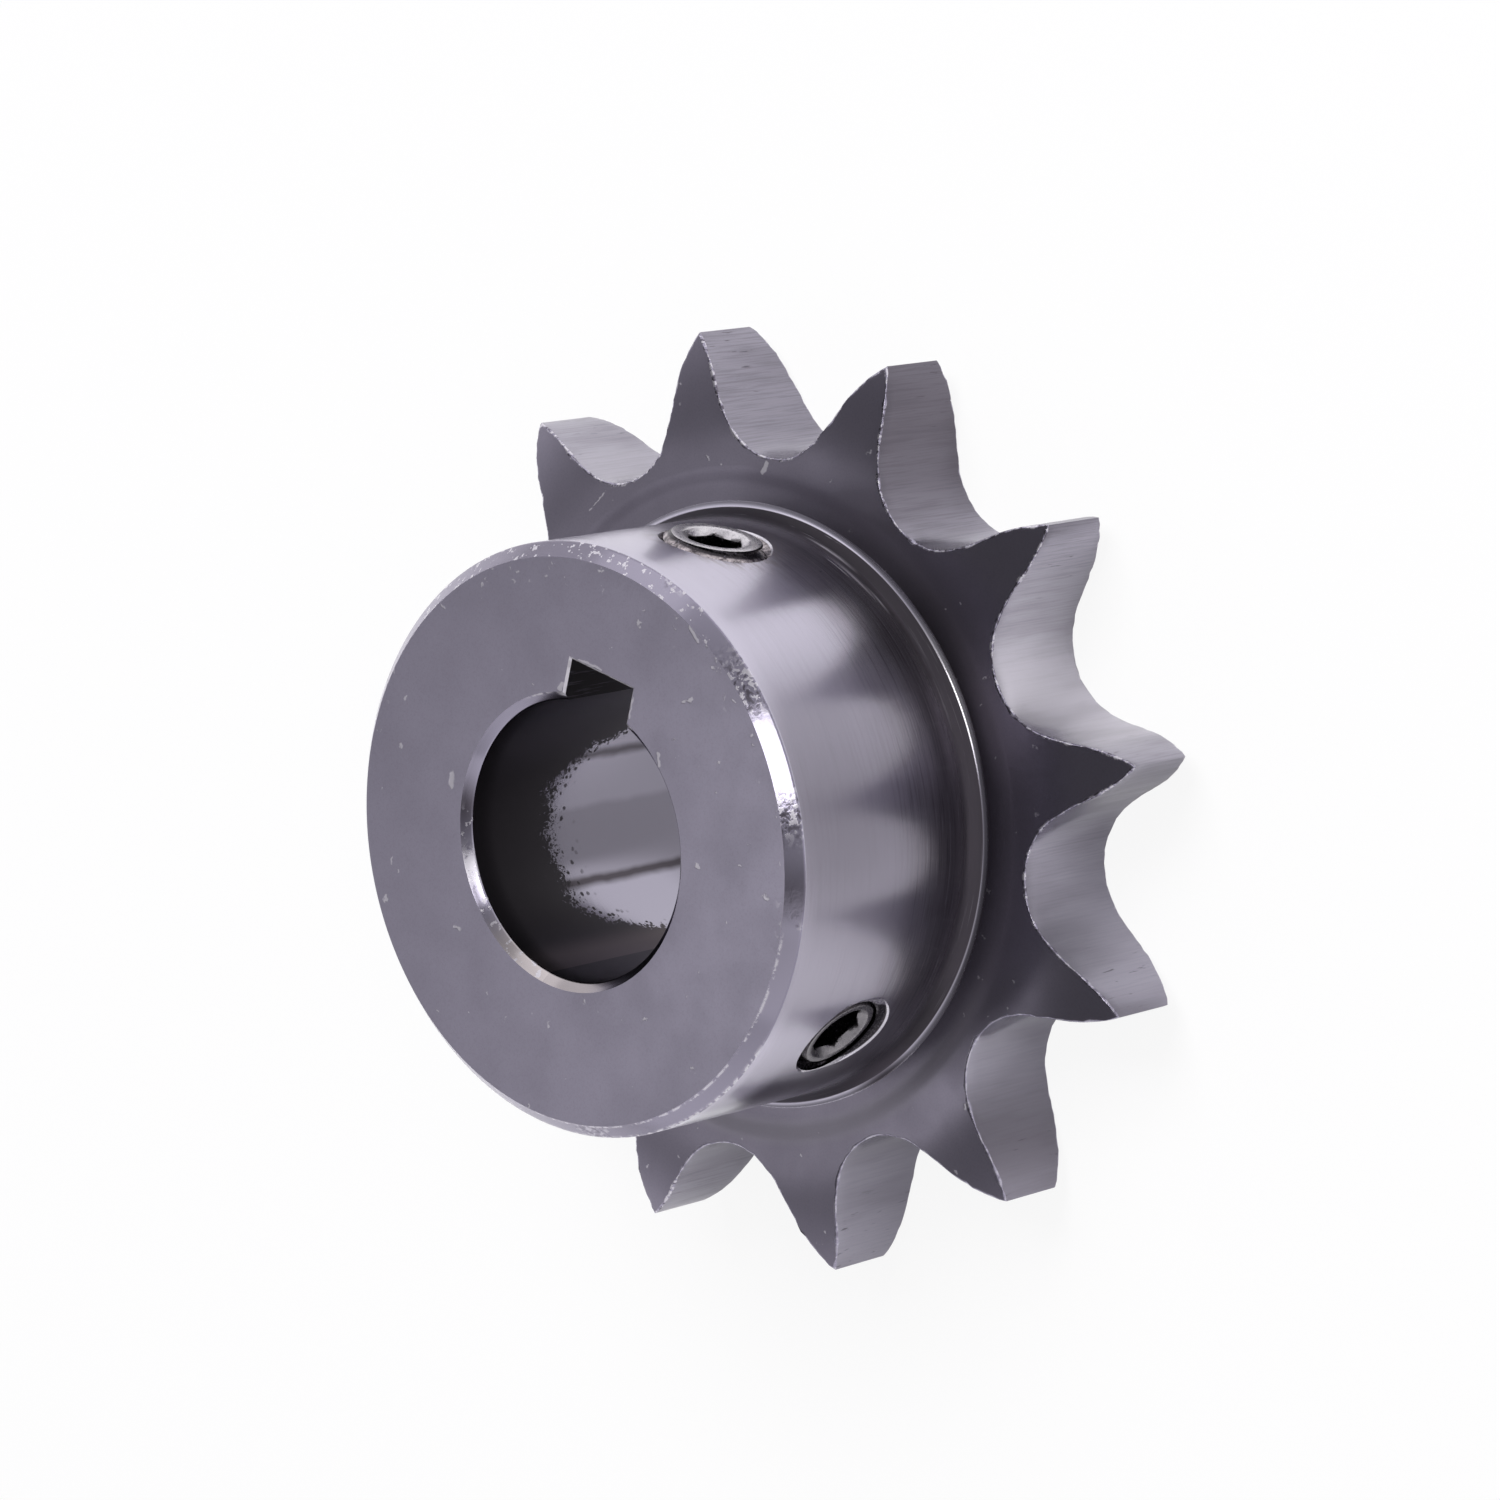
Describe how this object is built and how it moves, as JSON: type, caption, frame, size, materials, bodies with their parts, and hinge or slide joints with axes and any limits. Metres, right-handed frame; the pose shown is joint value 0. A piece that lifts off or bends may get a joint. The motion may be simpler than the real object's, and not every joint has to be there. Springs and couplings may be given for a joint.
{
  "type": "roller chain sprocket",
  "caption": "Toothed steel wheel for a roller chain, with a hub on one side, a keyed bore and set screws in the hub's wall.",
  "frame": {"origin": "on the bore's axis, in the plate's flat back face", "axes": "+Z along the bore towards the hub's end, +X through the middle of the keyway"},
  "size_m": [0.0544, 0.0544, 0.0224],
  "materials": {
    "body_steel": "dark turned steel, satin to polished",
    "screw_steel": "dark hardened steel, satin"
  },
  "bodies": {
    "root": {"sprocket_body": "body_steel", "key_set_screw": "screw_steel", "side_set_screw": "screw_steel"}
  },
  "joints": []
}
